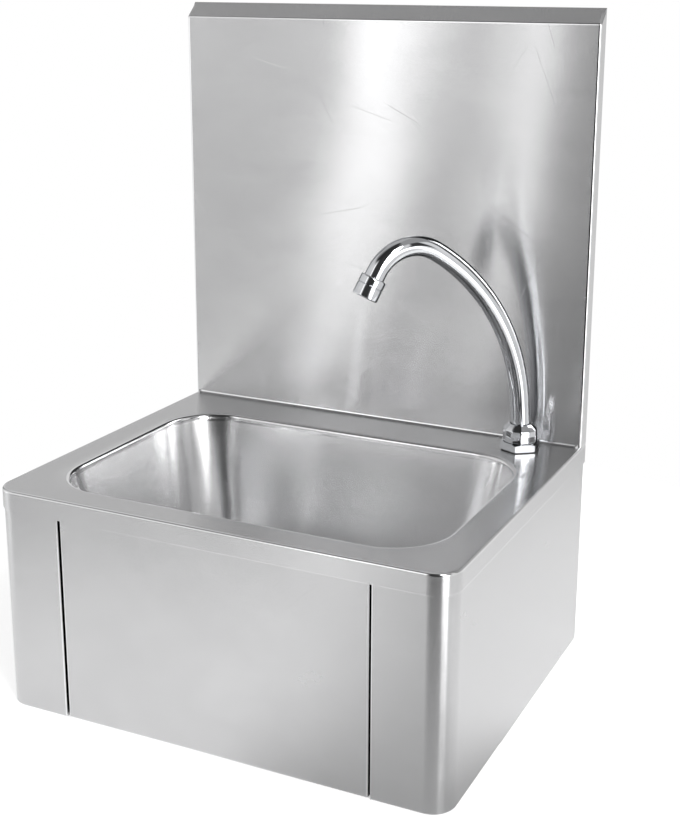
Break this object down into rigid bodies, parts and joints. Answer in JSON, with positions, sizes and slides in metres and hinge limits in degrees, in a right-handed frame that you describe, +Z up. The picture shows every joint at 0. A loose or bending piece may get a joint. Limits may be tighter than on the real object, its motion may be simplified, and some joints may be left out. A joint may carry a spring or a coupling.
{
  "type": "wall-hung hand wash sink",
  "caption": "Stainless steel wall-hung hand wash sink with a tall splashback, swan-neck swivel spout and a hinged front panel that a knee pushes to open the valve.",
  "frame": {"origin": "centre of the four wall-screw holes, in the wall plane behind the casing, half way up it", "axes": "+Z up, -Y out from the wall towards the user, +X to the right as the user faces the sink"},
  "size_m": [0.4, 0.32, 0.57],
  "materials": {
    "stainless_brushed": "horizontal brushed sheet",
    "stainless_casing": "fine brushed sheet",
    "stainless_satin": "satin, pressed and polished",
    "galvanised": "zinc plated",
    "bright_steel": "bright drawn",
    "spring_steel": "drawn wire and stamped spring steel",
    "chrome": "polished plating",
    "nickel": "nickel plated brass",
    "brass": "raw cast and turned",
    "black_rubber": "moulded",
    "fibre": "pressed fibre",
    "white_plastic": "moulded",
    "black_plastic": "moulded",
    "braided_steel": "stainless wire braid"
  },
  "bodies": {
    "casing": {"deck": "stainless_brushed", "splashback": "stainless_brushed", "side_panel_left": "stainless_casing", "side_panel_right": "stainless_casing", "rear_rail": "galvanised", "bowl": "stainless_satin", "hinge_bracket_left": "galvanised", "hinge_bracket_right": "galvanised", "hinge_rod": "bright_steel", "rod_clips": "spring_steel", "valve_bracket": "galvanised", "valve_body": "brass", "valve_washer": "fibre", "valve_nut": "brass", "stem_seal": "black_rubber", "valve_spring": "spring_steel", "check_valve_cold": "brass", "check_valve_hot": "brass", "inlet_screens": "spring_steel", "outlet_hose": "braided_steel", "hose_ferrules": "bright_steel", "hose_nuts": "nickel", "spout_gasket": "black_rubber", "spout_shank": "chrome", "shank_washer": "fibre", "shank_locknut": "brass", "swivel_nut": "chrome", "waste_gasket_upper": "black_rubber", "waste_body": "stainless_satin", "waste_strainer": "stainless_satin", "waste_screw": "bright_steel", "waste_gasket_lower": "black_rubber", "waste_locknut": "black_plastic"},
    "knee_panel": {"knee_panel": "stainless_casing", "hinge_bushes": "white_plastic", "panel_buffers": "black_rubber", "strike_pad": "black_rubber"},
    "push_button": {"push_button": "chrome", "valve_seat_disc": "black_rubber"},
    "spout": {"spout_tube": "chrome", "spout_retaining_ring": "spring_steel", "spout_orings": "black_rubber", "aerator_housing": "chrome", "aerator_washer": "black_rubber", "aerator_insert": "white_plastic"}
  },
  "joints": [
    {"name": "knee_panel_hinge", "type": "hinge", "parent": "casing", "child": "knee_panel", "pos_m": [0, -0.307, 0.083], "axis": [1, 0, 0], "range_deg": [0, 4.2], "stiffness_Nm_per_rad": 6, "springref_deg": -6.88},
    {"name": "push_button_slide", "type": "slide", "parent": "casing", "child": "push_button", "axis": [0, 1, 0], "range_m": [0, 0.011], "deforming": ["valve_spring"]},
    {"name": "spout_swivel", "type": "hinge", "parent": "casing", "child": "spout", "pos_m": [0.1505, -0.038, 0.1], "axis": [0, 0, 1], "range_deg": [-50, 130]}
  ],
  "couplings": [
    {"joint": "push_button_slide", "follows": "knee_panel_hinge", "m_per_rad": 0.149}
  ]
}
